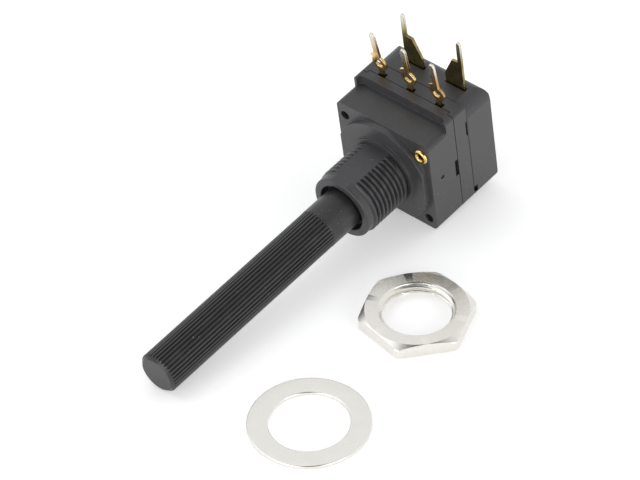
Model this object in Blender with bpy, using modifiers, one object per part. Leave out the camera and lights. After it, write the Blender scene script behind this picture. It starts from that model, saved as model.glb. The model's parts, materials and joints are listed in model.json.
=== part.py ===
"""Rotary encoder with a push switch, lying on a table beside its hex nut and its flat washer.

Sizes below are in millimetres; MM turns them into Blender's metres. Every piece of the
encoder is drawn standing on its back: +Z runs along the shaft towards its tip, +Y towards
the terminals, and z = 0 is the front face that carries the locating disc. One empty then
lays the whole encoder down, nose lowest, on its shaft tip and the body's lower front edge.
"""

import math

import bmesh
import bpy
from mathutils import Matrix, Vector

MM = 0.001
GAP = 0.08                      # fit between two pieces that touch or slide

# Housing, front to back
BODY_HALF_WIDTH = 8.1
BODY_BOTTOM = -7.6
BODY_TOP = 9.5
LEDGE_HEIGHT = 8.05
LEDGE_BACK = -3.83
LEDGE_POCKET_BACK = -4.65
LEDGE_POCKET_HALF_WIDTH = 7.6
LEDGE_ROUND = 0.8
SEAM_FRONT = -5.40              # front housing ends, contact wafer begins
LIP_BACK = -5.95                # the hood's lip over the wafer
LIP_BOTTOM = 8.35
SEAM_REAR = -7.90               # contact wafer ends, switch cover begins
BODY_BACK = -12.95
FRONT_CORNER = 0.45
REAR_CORNER = 2.4
REAR_TOP_ROUND = 2.0
REAR_FOOT_ROUND = 0.5
FOOT_CORNER = 0.8

# Locating disc and threaded bushing
DISC_RADIUS = 7.8
DISC_FRONT = 0.9
DISC_FOOT = -6.3                # the disc is cut off above the body's underside
DISC_HALF_WIDTH = 7.3           # and along both sides
COLLAR_RADIUS = 5.5
COLLAR_FRONT = 1.25
THREAD_PITCH = 0.75
THREAD_TURNS = 9
THREAD_RADIUS = 4.95
THREAD_ROOT = 4.52
THREAD_FLAT = 4.54
NOSE_RADIUS = 4.72
NOSE_FRONT = 9.5
NOSE_CHAMFER = 0.2
MOUTH_RADIUS = 3.63
MOUTH_DEPTH = 1.6

# Shaft
SHAFT_RADIUS = 3.0
BORE_RADIUS = 3.07
SHAFT_TIP = 46.0
TIP_CHAMFER = 0.5
SERRATION_START = 14.2
SERRATION_RADIUS = 2.97
SERRATIONS = 36
SERRATION_DEPTH = 0.22
GROOVE_FRONT = -1.25
GROOVE_BACK = -1.80
GROOVE_RADIUS = 2.5
SHOULDER = -2.3
TAIL_RADIUS = 2.0
TAIL_FLAT = 1.5
TAIL_END = -9.0
PUSH_TRAVEL = 0.5

# Inside the front housing
CAVITY_RADIUS = 6.9
CAVITY_FRONT = -1.2
RING_FRONT = -1.30
RING_BACK = -1.72
RING_RADIUS = 4.2
ROTOR_FRONT = SHOULDER - PUSH_TRAVEL - 0.2
ROTOR_FLANGE_BACK = -4.0
ROTOR_BACK = -6.6
ROTOR_RADIUS = 6.2
HUB_RADIUS = 3.1
DETENTS = 24
DETENT_DEPTH = 0.22
CODE_FRONT = -4.07
CODE_BACK = -4.32
CODE_RADIUS = 5.9
CODE_WINDOWS = 12
WAFER_BORE = 3.4

# Front terminals: three solder eyes with a pin, leaning forward where they leave the body
TERMINAL_PITCH = 5.0
TERMINAL_FRONT = -6.22
TERMINAL_BACK = -6.62
TERMINAL_TOP = 17.35
TERMINAL_INNER = 4.2
TERMINAL_LEAN = 0.095           # forward shift for each unit of height above the body
TERMINAL_A_LEAN = 0.06          # the first terminal also leans outward
EYE_CENTRE = 11.75
EYE_RADIUS = 1.25
EYE_HOLE = 0.6
STEM_HALF_WIDTH = 0.42
PIN_HALF_WIDTH = 0.45

# Rear terminals: two wide blades, each with a pin on its outer edge
BLADE_FRONT = -10.30
BLADE_BACK = -10.70
BLADE_MIDDLE = 0.8              # the pair stands off the middle of the body
BLADE_OUTER = 5.2
BLADE_INNER = 1.95
BLADE_SHOULDER = 11.2
BLADE_TOP = 14.3
BLADE_TIP = 17.9
BLADE_PIN_WIDTH = 0.7
BLADE_ROOT = 5.6
BLADE_NECK = 1.0                # the buried part passes inside the rivets

# Push switch in the rear cover
SWITCH_CAVITY_RADIUS = 5.4
SWITCH_FLOOR = -11.6
PLUNGER_RADIUS = 5.2
PLUNGER_FRONT = TAIL_END - GAP
PLUNGER_BACK = PLUNGER_FRONT - 0.6
PLUNGER_STEM = 1.1
PLUNGER_END = -10.2
DOME_RADIUS = 3.9
DOME_CROWN = PLUNGER_END - GAP
DOME_RIM = -11.10
DOME_WALL = 0.12
CONTACT_FRONT = -11.30
CONTACT_BACK = -11.54

# Rivets and tooling holes, on the body's diagonals
RIVET_X = 6.76
RIVET_Y = 5.92
RIVET_RADIUS = 0.95
RIVET_HOLE = 0.5
RIVET_HEAD = 1.12
RIVET_HEAD_HEIGHT = 0.4
RIVET_BEVEL = 0.2
TOOLING_HOLE = 0.7
TOOLING_DEPTH = 2.5

# Nut and washer, lying flat on the table; their places are measured from the edge that the
# encoder rests on
NUT_ACROSS_FLATS = 14.0
NUT_THICKNESS = 2.0
NUT_BORE = 4.62
NUT_MOUTH = 5.15
NUT_PLACE = (17.3, -15.05)
NUT_TURN = math.radians(-9.0)
WASHER_RADIUS = 8.1
WASHER_BORE = 5.3
WASHER_THICKNESS = 0.5
WASHER_PLACE = (19.25, -38.65)

# Lying pose: the body's lower front edge and the lower edge of the shaft tip touch the table
TIP_CONTACT = SHAFT_TIP - TIP_CHAMFER + SHAFT_RADIUS - SERRATION_RADIUS
PITCH = math.atan2(-BODY_BOTTOM - SERRATION_RADIUS, TIP_CONTACT)
AXIS_HEIGHT = -BODY_BOTTOM * math.cos(PITCH)
AXIS_BACK = BODY_BOTTOM * math.sin(PITCH)

ROUND_STEPS = 48


# ---------------------------------------------------------------- scene and materials

for old in list(bpy.data.objects):
    bpy.data.objects.remove(old, do_unlink=True)

parts = bpy.data.collections.new("rotary_encoder")
cutters = bpy.data.collections.new("cutters")
bpy.context.scene.collection.children.link(parts)
bpy.context.scene.collection.children.link(cutters)

encoder_pose = bpy.data.objects.new("encoder_pose", None)
nut_place = bpy.data.objects.new("nut_place", None)
washer_place = bpy.data.objects.new("washer_place", None)
for empty in (encoder_pose, nut_place, washer_place):
    parts.objects.link(empty)


def finish_material(name, colour, roughness, metallic):
    """One Principled material."""
    material = bpy.data.materials.new(name)
    material.use_nodes = True
    shader = material.node_tree.nodes["Principled BSDF"]
    shader.inputs["Base Color"].default_value = (*colour, 1.0)
    shader.inputs["Roughness"].default_value = roughness
    shader.inputs["Metallic"].default_value = metallic
    return material


FINISHES = {
    "black_plastic": ((0.028, 0.029, 0.033), 0.45, 0.0),
    "shaft_plastic": ((0.018, 0.018, 0.020), 0.38, 0.0),
    "inner_plastic": ((0.62, 0.60, 0.54), 0.50, 0.0),
    "gold_brass": ((0.80, 0.58, 0.24), 0.25, 1.0),
    "dull_brass": ((0.46, 0.40, 0.19), 0.38, 1.0),
    "spring_steel": ((0.62, 0.62, 0.60), 0.30, 1.0),
    "nickel": ((0.80, 0.79, 0.75), 0.22, 1.0),
}


# ---------------------------------------------------------------- shape tools

def put(name, mesh, collection):
    """Link a mesh as a named object; cutters stay out of the model."""
    thing = bpy.data.objects.new(name, mesh)
    collection.objects.link(thing)
    if collection is cutters:
        thing.hide_render = True
        thing.display_type = "WIRE"
    return thing


def settled(thing):
    """The mesh that an object's curve or modifiers give, in millimetres."""
    bpy.context.view_layer.update()
    evaluated = thing.evaluated_get(bpy.context.evaluated_depsgraph_get())
    mesh = bpy.data.meshes.new_from_object(evaluated)
    data = thing.data
    bpy.data.objects.remove(thing, do_unlink=True)
    if isinstance(data, bpy.types.Curve):
        bpy.data.curves.remove(data)
    else:
        bpy.data.meshes.remove(data)
    return mesh


def scaled(mesh, turn=Matrix.Identity(4)):
    """Weld a millimetre mesh, turn it and bring it to metres; a mirrored one is turned outside."""
    work = bmesh.new()
    work.from_mesh(mesh)
    bmesh.ops.remove_doubles(work, verts=work.verts, dist=0.0005)
    bmesh.ops.transform(work, matrix=Matrix.Scale(MM, 4) @ turn, verts=work.verts)
    if turn.determinant() < 0:
        bmesh.ops.reverse_faces(work, faces=work.faces)
    work.to_mesh(mesh)
    work.free()
    return mesh


def plate(name, loops, low, high, collection=None, turn=Matrix.Identity(4)):
    """A flat outline with any holes, filled and given its thickness from low to high."""
    curve = bpy.data.curves.new(name, "CURVE")
    curve.dimensions = "2D"
    curve.fill_mode = "BOTH"
    curve.extrude = (high - low) / 2
    for loop in loops:
        spline = curve.splines.new("POLY")
        spline.points.add(len(loop) - 1)
        for point, (x, y) in zip(spline.points, loop):
            point.co = (x, y, 0.0, 1.0)
        spline.use_cyclic_u = True
    drawing = put(name + "_drawing", curve, cutters)
    mesh = settled(drawing)
    middle = Matrix.Translation((0.0, 0.0, (low + high) / 2))
    return put(name, scaled(mesh, turn @ middle), collection or cutters)


def turned(name, profile, closed=False, collection=None, steps=ROUND_STEPS):
    """A profile of (radius, height) turned about Z, listed down its outer side."""
    mesh = bpy.data.meshes.new(name)
    count = len(profile)
    edges = [(i, i + 1) for i in range(count - 1)]
    if closed:
        edges.append((count - 1, 0))
    mesh.from_pydata([(radius, 0.0, height) for radius, height in profile], edges, [])
    drawing = put(name + "_drawing", mesh, cutters)
    screw = drawing.modifiers.new("turn", "SCREW")
    screw.steps = steps
    screw.render_steps = steps
    screw.use_merge_vertices = True
    screw.merge_threshold = 0.00001
    return put(name, scaled(settled(drawing)), collection or cutters)


def box(name, low, high, collection=None):
    """A box between two corners."""
    work = bmesh.new()
    bmesh.ops.create_cube(work, size=1.0)
    low, high = Vector(low), Vector(high)
    size = Matrix.Diagonal((*(high - low), 1.0))
    place = Matrix.Translation((low + high) / 2)
    bmesh.ops.transform(work, matrix=Matrix.Scale(MM, 4) @ place @ size, verts=work.verts)
    mesh = bpy.data.meshes.new(name)
    work.to_mesh(mesh)
    work.free()
    return put(name, mesh, collection or cutters)


def combine(target, operation, *others):
    """Live exact Booleans, one for each other shape."""
    for other in others:
        step = target.modifiers.new(operation.lower(), "BOOLEAN")
        step.operation = operation
        step.solver = "EXACT"
        step.object = other


def arc(centre, radius, start, end, steps):
    """Points along an arc, angles in degrees."""
    points = []
    for i in range(steps + 1):
        angle = math.radians(start + (end - start) * i / steps)
        points.append((centre[0] + radius * math.cos(angle), centre[1] + radius * math.sin(angle)))
    return points


def circle(centre, radius, steps=32):
    """A closed ring of points."""
    return arc(centre, radius, 0, 360, steps)[:-1]


def rounded_box(left, right, bottom, top, foot, crown, steps=5):
    """A rectangle whose lower corners have radius foot and upper corners radius crown."""
    return (arc((right - foot, bottom + foot), foot, -90, 0, steps)
            + arc((right - crown, top - crown), crown, 0, 90, steps)
            + arc((left + crown, top - crown), crown, 90, 180, steps)
            + arc((left + foot, bottom + foot), foot, 180, 270, steps))


def body_outline(crown):
    """The housing seen from the front."""
    return rounded_box(-BODY_HALF_WIDTH, BODY_HALF_WIDTH, BODY_BOTTOM, BODY_TOP, FOOT_CORNER, crown)


def side_view():
    """Stands a flat drawing on its edge: drawn x becomes depth z, thickness becomes x."""
    return Matrix(((0, 0, 1, 0), (0, 1, 0, 0), (1, 0, 0, 0), (0, 0, 0, 1)))


def drill(name, x, y, radius, low, high):
    """A round cutter along the shaft's direction."""
    return plate(name, [circle((x, y), radius, 20)], low, high)


def finished(thing, finish, parent=encoder_pose):
    """Parent, shade and give a piece its material."""
    thing.parent = parent
    thing.data.shade_smooth()
    thing.data.set_sharp_from_angle(angle=math.radians(30))
    colour, roughness, metallic = FINISHES[finish]
    thing.data.materials.clear()
    thing.data.materials.append(finish_material(f"{thing.name}_{finish}", colour, roughness, metallic))
    return thing


# ---------------------------------------------------------------- housing

def thread_profile():
    """The bushing's outer side from nose to collar: one ridge for each turn of the thread."""
    points = [(0.0, NOSE_FRONT), (NOSE_RADIUS - NOSE_CHAMFER, NOSE_FRONT),
              (NOSE_RADIUS, NOSE_FRONT - NOSE_CHAMFER)]
    start = COLLAR_FRONT + 0.1 + THREAD_TURNS * THREAD_PITCH
    points.append((NOSE_RADIUS, start + 0.15))
    for turn in range(THREAD_TURNS):
        top = start - turn * THREAD_PITCH
        points += [(THREAD_ROOT, top), (THREAD_RADIUS, top - 0.32 * THREAD_PITCH),
                   (THREAD_RADIUS, top - 0.5 * THREAD_PITCH), (THREAD_ROOT, top - 0.82 * THREAD_PITCH)]
    points += [(THREAD_ROOT, COLLAR_FRONT), (COLLAR_RADIUS, COLLAR_FRONT),
               (COLLAR_RADIUS, DISC_FRONT - 0.2), (0.0, DISC_FRONT - 0.2)]
    return points


def bore_profile():
    """Shaft bore with its wide mouth, opening into the rotor's cavity."""
    return [(0.0, NOSE_FRONT + 1), (MOUTH_RADIUS, NOSE_FRONT + 1), (MOUTH_RADIUS, NOSE_FRONT - MOUTH_DEPTH),
            (BORE_RADIUS, NOSE_FRONT - MOUTH_DEPTH - 0.3), (BORE_RADIUS, CAVITY_FRONT),
            (CAVITY_RADIUS, CAVITY_FRONT), (CAVITY_RADIUS, SEAM_FRONT - 2), (0.0, SEAM_FRONT - 2)]


def side_marks(name, z_low, z_high, y_low, y_high, depth=0.5):
    """A pair of small pockets in the body's two sides."""
    outer = BODY_HALF_WIDTH + 1
    inner = BODY_HALF_WIDTH - depth
    return [box(f"{name}_right", (inner, y_low, z_low), (outer, y_high, z_high)),
            box(f"{name}_left", (-outer, y_low, z_low), (-inner, y_high, z_high))]


def disc_outline():
    """The locating disc: a circle cut straight along both sides and along its foot."""
    foot = math.degrees(math.asin(-DISC_FOOT / DISC_RADIUS))
    side = math.degrees(math.acos(DISC_HALF_WIDTH / DISC_RADIUS))
    return (arc((0, 0), DISC_RADIUS, -foot, -side, 8) + arc((0, 0), DISC_RADIUS, side, 180 - side, 36)
            + arc((0, 0), DISC_RADIUS, 180 + side, 180 + foot, 8))


def ledge_outline():
    """Everything above the ledge, and the two corners that it rounds off."""
    out, edge, low = BODY_HALF_WIDTH + 0.9, BODY_HALF_WIDTH - LEDGE_ROUND, LEDGE_HEIGHT - LEDGE_ROUND
    return ([(out, low), (out, BODY_TOP + 1), (-out, BODY_TOP + 1), (-out, low)]
            + arc((-edge, low), LEDGE_ROUND, 175, 90, 5) + arc((edge, low), LEDGE_ROUND, 90, 5, 5))


def front_housing():
    """Front shell: block, ledge, locating disc and threaded bushing in one moulding."""
    shell = plate("front_housing", [body_outline(FRONT_CORNER)], SEAM_FRONT, 0.0, parts)
    lip = box("lip", (-7.0, LIP_BOTTOM, LIP_BACK), (7.0, BODY_TOP, SEAM_FRONT + 0.5))
    disc = plate("disc", [disc_outline()], -0.5, DISC_FRONT)
    bushing = turned("bushing", thread_profile())
    flats = [box("flat_upper", (-8, THREAD_FLAT, COLLAR_FRONT), (8, 8, NOSE_FRONT + 1)),
             box("flat_lower", (-8, -8, COLLAR_FRONT), (8, -THREAD_FLAT, NOSE_FRONT + 1))]
    combine(bushing, "DIFFERENCE", *flats)
    combine(shell, "UNION", lip, disc, bushing)
    ledge = plate("ledge", [ledge_outline()], LEDGE_BACK, 1.0)
    pocket_half = LEDGE_POCKET_HALF_WIDTH
    pocket_loop = rounded_box(-pocket_half, pocket_half, LEDGE_POCKET_BACK, 1.0, LEDGE_ROUND, 0.1)
    lay = Matrix(((1, 0, 0, 0), (0, 0, 1, 0), (0, 1, 0, 0), (0, 0, 0, 1)))
    pocket = plate("ledge_pocket", [pocket_loop], LEDGE_HEIGHT, BODY_TOP + 1, turn=lay)
    bore = turned("bore", bore_profile(), steps=ROUND_STEPS - 4)
    holes = [drill("tooling_upper", -RIVET_X, RIVET_Y, TOOLING_HOLE, -TOOLING_DEPTH, 2),
             drill("tooling_lower", RIVET_X, -RIVET_Y, TOOLING_HOLE, -TOOLING_DEPTH, 2)]
    combine(shell, "DIFFERENCE", ledge, pocket, bore, *holes, *rivet_holes("front"))
    combine(shell, "DIFFERENCE", *side_marks("seam_notch", -5.6, -4.8, -1.1, 1.7))
    combine(shell, "DIFFERENCE", *side_marks("ejector_mark", -2.5, -1.9, 0.7, 1.2, 0.25))
    return finished(shell, "black_plastic")


def rivet_holes(name):
    """Clearance for the two tubular rivets through every layer of the body."""
    low, high = BODY_BACK - 1, 2
    return [drill(f"{name}_rivet_upper", RIVET_X, RIVET_Y, RIVET_RADIUS + GAP, low, high),
            drill(f"{name}_rivet_lower", -RIVET_X, -RIVET_Y, RIVET_RADIUS + GAP, low, high)]


def contact_wafer():
    """Middle layer: holds the three front terminals and lets the hub through."""
    front = SEAM_FRONT - GAP
    wafer = plate("contact_wafer", [body_outline(FRONT_CORNER)], SEAM_REAR, front, parts)
    recess = box("lip_recess", (-7.0 - GAP, LIP_BOTTOM - GAP, LIP_BACK - GAP), (7.0 + GAP, BODY_TOP + 1, 0))
    bore = drill("wafer_bore", 0, 0, WAFER_BORE, SEAM_REAR - 1, 1)
    slots = []
    for label, x in (("left", -TERMINAL_PITCH), ("middle", 0.0), ("right", TERMINAL_PITCH)):
        half = STEM_HALF_WIDTH + 0.2
        slots.append(box(f"slot_{label}", (x - half, 3.9, TERMINAL_BACK - GAP), (x + half, BODY_TOP + 1, 0)))
    wells = [box("well_left", (-5.62, 2.9, TERMINAL_BACK - GAP), (-3.3, 5.3, 0)),
             box("well_right", (3.3, 2.9, TERMINAL_BACK - GAP), (5.62, 5.3, 0))]
    combine(wafer, "DIFFERENCE", recess, bore, *slots, *wells, *rivet_holes("wafer"))
    combine(wafer, "DIFFERENCE", *side_marks("seam_slot", SEAM_REAR - 1, SEAM_REAR + 0.28, 4.3, 6.8))
    return finished(wafer, "black_plastic")


def switch_cover():
    """Rear shell over the push switch, with its upper back edge rounded over."""
    front = SEAM_REAR - GAP
    cover = plate("switch_cover", [body_outline(REAR_CORNER)], BODY_BACK, front, parts)
    back = BODY_BACK
    profile = [(front + 1, BODY_BOTTOM - 1), (front + 1, BODY_TOP + 1)]
    profile += [(back + REAR_TOP_ROUND, BODY_TOP + 1)]
    profile += arc((back + REAR_TOP_ROUND, BODY_TOP - REAR_TOP_ROUND), REAR_TOP_ROUND, 90, 180, 8)
    foot = REAR_FOOT_ROUND
    profile += arc((back + foot, BODY_BOTTOM + foot), foot, 180, 270, 4) + [(back + foot, BODY_BOTTOM - 1)]
    combine(cover, "INTERSECT", plate("cover_side", [profile], -9, 9, turn=side_view()))
    cavity = turned("switch_cavity", [(0.0, 0.0), (SWITCH_CAVITY_RADIUS, 0.0),
                                      (SWITCH_CAVITY_RADIUS, SWITCH_FLOOR), (0.0, SWITCH_FLOOR)])
    blades = []
    for label, loop in (("left", blade_outline(-1)), ("right", blade_outline(1))):
        low_x = min(x for x, y in loop) - GAP
        high_x = max(x for x, y in loop) + GAP
        blades.append(box(f"blade_slot_{label}", (low_x, BLADE_ROOT - GAP, BLADE_BACK - GAP),
                          (high_x, BODY_TOP + 1, BLADE_FRONT + GAP)))
        foot_x = (low_x + high_x) / 2
        blades.append(box(f"foot_slot_{label}", (foot_x - 1.0, 3.0, SWITCH_FLOOR),
                          (foot_x + 1.0, 6.9, BLADE_FRONT + GAP)))
    combine(cover, "DIFFERENCE", cavity, *blades, *rivet_holes("cover"))
    combine(cover, "DIFFERENCE", *side_marks("foot_notch", front - 0.5, 0, -6.7, -5.9))
    return finished(cover, "black_plastic")


def rivet(name, x, y):
    """Tubular rivet with a rolled head at each end."""
    front_seat = GAP / 2
    rear_seat = BODY_BACK - GAP / 2
    head = RIVET_HEAD_HEIGHT
    bevel = RIVET_BEVEL
    profile = [(RIVET_HOLE, front_seat + head - bevel), (RIVET_HOLE + bevel, front_seat + head),
               (RIVET_HEAD - bevel, front_seat + head), (RIVET_HEAD, front_seat + head - bevel),
               (RIVET_HEAD, front_seat), (RIVET_RADIUS, front_seat), (RIVET_RADIUS, rear_seat),
               (RIVET_HEAD, rear_seat), (RIVET_HEAD, rear_seat - head + bevel),
               (RIVET_HEAD - bevel, rear_seat - head), (RIVET_HOLE, rear_seat - head)]
    tube = turned(name, profile, closed=True, collection=parts, steps=20)
    tube.data.transform(Matrix.Translation((x * MM, y * MM, 0.0)))
    return finished(tube, "gold_brass")


# ---------------------------------------------------------------- shaft and rotor

def serrated_outline():
    """Fine axial teeth: flat crests with a groove between each pair."""
    points = []
    step = 360 / SERRATIONS
    for tooth in range(SERRATIONS):
        start = tooth * step
        crest, root = SERRATION_RADIUS, SERRATION_RADIUS - SERRATION_DEPTH
        for share, radius in ((0.0, crest), (0.5, crest), (0.66, root), (0.84, root)):
            angle = math.radians(start + share * step)
            points.append((radius * math.cos(angle), radius * math.sin(angle)))
    return points


def two_flats(radius, flat, steps=32):
    """A circle with two parallel flats."""
    return [(max(-flat, min(flat, x)), y) for x, y in circle((0, 0), radius, steps)]


def shaft():
    """Serrated knob end, plain journal, ring groove and a flatted tail that drives the rotor."""
    body = turned("shaft", [(0.0, SERRATION_START), (SHAFT_RADIUS, SERRATION_START),
                            (SHAFT_RADIUS, GROOVE_FRONT), (GROOVE_RADIUS, GROOVE_FRONT),
                            (GROOVE_RADIUS, GROOVE_BACK), (SHAFT_RADIUS, GROOVE_BACK),
                            (SHAFT_RADIUS, SHOULDER), (0.0, SHOULDER)], collection=parts)
    knurl = plate("knurl", [serrated_outline()], SERRATION_START - 0.6, SHAFT_TIP)
    flare = 1.0
    bevel = turned("tip_bevel", [(0.0, SHAFT_TIP + flare), (SHAFT_RADIUS - TIP_CHAMFER - flare, SHAFT_TIP + flare),
                                 (SHAFT_RADIUS + flare, SHAFT_TIP - TIP_CHAMFER - flare),
                                 (SHAFT_RADIUS + flare, 0.0), (0.0, 0.0)], steps=SERRATIONS)
    combine(knurl, "INTERSECT", bevel)
    tail = plate("tail", [two_flats(TAIL_RADIUS, TAIL_FLAT)], TAIL_END, SHOULDER + 0.3)
    combine(body, "UNION", knurl, tail)
    return finished(body, "shaft_plastic")


def retaining_ring():
    """Snap ring in the shaft's groove: it stops the shaft from being pulled out."""
    inner = GROOVE_RADIUS + 0.03
    loop = arc((0, 0), RING_RADIUS, -60, 240, 40) + arc((0, 0), inner, 240, -60, 40)
    return finished(plate("retaining_ring", [loop], RING_BACK, RING_FRONT, parts), "spring_steel")


def detent_outline():
    """A rim with shallow scallops, one for each click."""
    points = []
    steps = DETENTS * 8
    for i in range(steps):
        angle = 2 * math.pi * i / steps
        wave = 0.5 + 0.5 * math.cos(DETENTS * (angle + math.pi / 2))
        radius = ROTOR_RADIUS - DETENT_DEPTH * wave
        points.append((radius * math.cos(angle), radius * math.sin(angle)))
    return points


def rotor():
    """Detent wheel on a hub whose flatted hole slides on the shaft's tail."""
    hole = two_flats(TAIL_RADIUS + 0.06, TAIL_FLAT + 0.06)
    wheel = plate("rotor", [detent_outline(), hole], ROTOR_FLANGE_BACK, ROTOR_FRONT, parts)
    hub = plate("hub", [circle((0, 0), HUB_RADIUS, 48), hole], ROTOR_BACK, ROTOR_FLANGE_BACK + 0.5)
    combine(wheel, "UNION", hub)
    return finished(wheel, "inner_plastic")


def code_wheel():
    """Contact pattern that turns under the wipers."""
    loops = [circle((0, 0), CODE_RADIUS, 72), circle((0, 0), HUB_RADIUS + GAP, 48)]
    share = 360 / CODE_WINDOWS
    for window in range(CODE_WINDOWS):
        start = window * share
        end = start + share / 2
        loops.append(arc((0, 0), 5.5, start, end, 3) + arc((0, 0), 4.9, end, start, 3))
    return finished(plate("code_wheel", loops, CODE_BACK, CODE_FRONT, parts), "gold_brass")


def detent_spring():
    """Leaf bowed along the cavity's lower wall, its nose resting in a scallop."""
    outer, inner = [], []
    for i in range(41):
        degrees = 225 + 90 * i / 40
        nose = 0.56 * math.exp(-((degrees - 270) / 2.6) ** 2)
        angle = math.radians(degrees)
        for side, radius in ((outer, CAVITY_RADIUS - GAP - nose), (inner, CAVITY_RADIUS - GAP - nose - 0.14)):
            side.append((radius * math.cos(angle), radius * math.sin(angle)))
    loop = outer + inner[::-1]
    return finished(plate("detent_spring", [loop], -3.85, -3.15, parts), "spring_steel")


# ---------------------------------------------------------------- front terminals

def terminal_outline(inner_shift):
    """Strip seen from the front: inner lug, stem, solder eye with a barb, and pin."""
    stem, pin = STEM_HALF_WIDTH, PIN_HALF_WIDTH
    opening = math.degrees(math.asin(stem / EYE_RADIUS))
    crown = math.degrees(math.asin(pin / EYE_RADIUS))
    points = [(inner_shift - stem, TERMINAL_INNER), (inner_shift + stem, TERMINAL_INNER), (stem, 5.4)]
    points += arc((0, EYE_CENTRE), EYE_RADIUS, -90 + opening, 90 - crown, 12)
    points += [(pin, TERMINAL_TOP - 0.5), (0.6 * pin, TERMINAL_TOP), (-0.6 * pin, TERMINAL_TOP),
               (-pin, TERMINAL_TOP - 0.5), (-pin, EYE_CENTRE + 1.75), (-1.25, EYE_CENTRE + 1.25),
               (-1.2, EYE_CENTRE + 0.95)]
    points += arc((0, EYE_CENTRE), EYE_RADIUS, 90 + crown + 22, 270 - opening, 10)
    points += [(-stem, 5.4)]
    return points


def front_terminal(name, x, outward=0.0):
    """One stamped terminal, leaning forward above the body."""
    inner_shift = -0.35 if x > 0 else 0.35 if x < 0 else 0.0
    loops = [terminal_outline(inner_shift), circle((0, EYE_CENTRE), EYE_HOLE, 20)]
    strip = plate(name, loops, TERMINAL_BACK, TERMINAL_FRONT, parts)
    for vertex in strip.data.vertices:
        height = max(vertex.co.y - BODY_TOP * MM, 0.0)
        vertex.co.z += TERMINAL_LEAN * height
        vertex.co.x += x * MM - outward * height
    return finished(strip, "gold_brass")


def wiper(name, x, y, heading):
    """Thin finger from a terminal's inner lug forward to the code wheel."""
    seat = TERMINAL_FRONT + 0.04
    touch = CODE_BACK - 0.05
    wall = 0.1
    lower = [(0.0, seat), (0.9, seat), (2.3, touch - 0.35), (2.55, touch - wall), (2.9, touch - 0.35)]
    upper = [(px, pz + wall) for px, pz in lower]
    loop = lower + upper[::-1]
    stand = Matrix(((1, 0, 0, 0), (0, 0, -1, 0), (0, 1, 0, 0), (0, 0, 0, 1)))
    place = Matrix.Translation((x, y, 0)) @ Matrix.Rotation(math.radians(heading), 4, "Z")
    return finished(plate(name, [loop], -0.3, 0.3, parts, turn=place @ stand), "spring_steel")


# ---------------------------------------------------------------- push switch

def blade_outline(side):
    """Wide blade with a sloping inner shoulder and a pin on its outer edge."""
    outer, inner = BLADE_OUTER, BLADE_INNER
    pin = outer - BLADE_PIN_WIDTH
    neck = outer - BLADE_NECK
    points = [(inner, BLADE_ROOT), (neck, BLADE_ROOT), (neck, 7.6), (outer, 8.3),
              (outer, BLADE_TIP - 0.4), (outer - 0.15, BLADE_TIP),
              (pin + 0.15, BLADE_TIP), (pin, BLADE_TIP - 0.4), (pin, BLADE_TOP), (outer - 1.75, BLADE_TOP - 0.1),
              (inner + 0.05, BLADE_SHOULDER)]
    return [(BLADE_MIDDLE + side * x, y) for x, y in points]


def switch_terminal(name, side):
    """Blade and the foot that reaches back to its contact."""
    loop = blade_outline(side)
    blade = plate(name, [loop], BLADE_BACK, BLADE_FRONT, parts)
    foot_x = BLADE_MIDDLE + side * (BLADE_OUTER + BLADE_INNER) / 2
    foot = box(f"{name}_foot", (foot_x - 0.6, BLADE_ROOT, CONTACT_FRONT + 0.04),
               (foot_x + 0.6, BLADE_ROOT + 0.6, BLADE_BACK + 0.1))
    combine(blade, "UNION", foot)
    return finished(blade, "dull_brass")


def plunger():
    """Pushed back by the shaft's tail, guided by the switch cavity."""
    body = turned("plunger", [(0.0, PLUNGER_FRONT), (PLUNGER_RADIUS, PLUNGER_FRONT),
                              (PLUNGER_RADIUS, PLUNGER_BACK), (PLUNGER_STEM, PLUNGER_BACK),
                              (PLUNGER_STEM, PLUNGER_END), (0.0, PLUNGER_END)], collection=parts, steps=48)
    return finished(body, "inner_plastic")


def snap_dome():
    """Thin domed disc that clicks flat and springs back."""
    rise = DOME_CROWN - DOME_RIM
    sphere = (DOME_RADIUS ** 2 + rise ** 2) / (2 * rise)
    half = math.degrees(math.asin(DOME_RADIUS / sphere))
    centre = (0.0, DOME_CROWN - sphere)
    outer = arc(centre, sphere, 90, 90 - half, 5)
    inner = arc(centre, sphere - DOME_WALL, 90 - half, 90, 5)
    outer[0] = (0.0, outer[0][1])
    inner[-1] = (0.0, inner[-1][1])
    return finished(turned("snap_dome", outer + inner, collection=parts, steps=32), "spring_steel")


def rim_contact():
    """Open ring that the dome stands on, joined to the right-hand blade."""
    foot_x = BLADE_MIDDLE + (BLADE_OUTER + BLADE_INNER) / 2
    ring = plate("rim_contact", [arc((0, 0), 4.3, 140, 410, 40) + arc((0, 0), 3.3, 410, 140, 40)],
                 CONTACT_BACK, CONTACT_FRONT, parts)
    tab = plate("rim_tab", [[(2.4, 2.6), (3.2, 2.4), (foot_x + 0.6, 5.0), (foot_x + 0.6, 6.4),
                             (foot_x - 0.6, 6.4), (foot_x - 0.6, 5.0)]], CONTACT_BACK + 0.03, CONTACT_FRONT - 0.03)
    combine(ring, "UNION", tab)
    return finished(ring, "gold_brass")


def centre_contact():
    """Button under the dome's middle, with a strip out to the left-hand blade."""
    foot_x = BLADE_MIDDLE - (BLADE_OUTER + BLADE_INNER) / 2
    button = plate("centre_contact", [circle((0, 0), 0.9, 24)], CONTACT_BACK, CONTACT_FRONT + 0.1, parts)
    strip = plate("centre_strip", [[(-0.4, 0.0), (0.4, 0.0), (foot_x + 0.6, 5.2), (foot_x + 0.6, 6.4),
                                    (foot_x - 0.6, 6.4), (foot_x - 0.6, 5.2)]], CONTACT_BACK + 0.03, CONTACT_FRONT - 0.03)
    combine(button, "UNION", strip)
    return finished(button, "gold_brass")


# ---------------------------------------------------------------- nut and washer

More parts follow.
